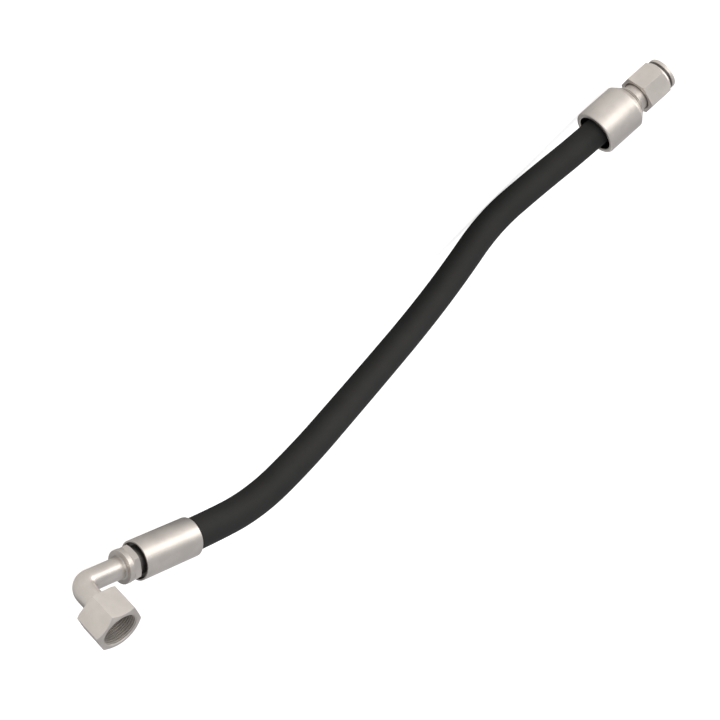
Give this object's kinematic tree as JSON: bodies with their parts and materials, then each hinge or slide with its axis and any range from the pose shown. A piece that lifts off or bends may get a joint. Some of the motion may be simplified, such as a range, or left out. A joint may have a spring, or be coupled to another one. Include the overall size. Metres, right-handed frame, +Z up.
{
  "type": "hydraulic hose assembly",
  "caption": "Two-wire-braid rubber hydraulic hose with a crimped 90 degree elbow swivel at one end and a straight bell-shouldered swivel at the other.",
  "frame": {"origin": "on the surface that the assembly lies on, under the middle of the box around its two end fittings", "axes": "+X from the elbow end to the straight end, +Z up from the surface"},
  "size_m": [0.7821, 0.125, 0.0629],
  "materials": {
    "cover_rubber": "matte cloth-wrapped synthetic rubber",
    "liner_rubber": "smooth nitrile rubber",
    "braid_wire": "brass-coated high-tensile wire braid",
    "plated_ferrule": "satin trivalent zinc plating, turned",
    "plated_steel": "satin trivalent zinc plating, turned",
    "plated_tube": "satin plated drawn tube",
    "plated_nut": "satin plated hexagon bar, machined",
    "wire_steel": "bright spring wire",
    "braze_metal": "plated braze fillet",
    "seal_rubber": "nitrile O-ring"
  },
  "bodies": {
    "hose_body": {"hose_liner": "liner_rubber", "hose_inner_braid": "braid_wire", "hose_interlayer": "liner_rubber", "hose_outer_braid": "braid_wire", "hose_cover": "cover_rubber", "elbow_ferrule": "plated_ferrule", "elbow_stem": "plated_steel", "elbow_tube": "plated_tube", "collar_braze": "braze_metal", "elbow_seat": "plated_steel", "seat_braze": "braze_metal", "elbow_seal": "seal_rubber", "elbow_thrust_wire": "wire_steel", "straight_ferrule": "plated_ferrule", "lock_ring": "plated_steel", "straight_stem": "plated_steel", "straight_seal": "seal_rubber", "straight_thrust_wire": "wire_steel"},
    "elbow_nut": {"elbow_swivel_nut": "plated_nut"},
    "straight_nut": {"straight_swivel_nut": "plated_nut"}
  },
  "joints": [
    {"name": "elbow_nut_spin", "type": "hinge", "parent": "hose_body", "child": "elbow_nut", "pos_m": [-0.37234, 0.02335, 0.04418], "axis": [-0.116, 0.3437, 0.9319], "continuous": true},
    {"name": "straight_nut_spin", "type": "hinge", "parent": "hose_body", "child": "straight_nut", "pos_m": [0.37117, 0.00517, 0.02793], "axis": [0.9672, 0.2483, 0.0541], "continuous": true}
  ]
}
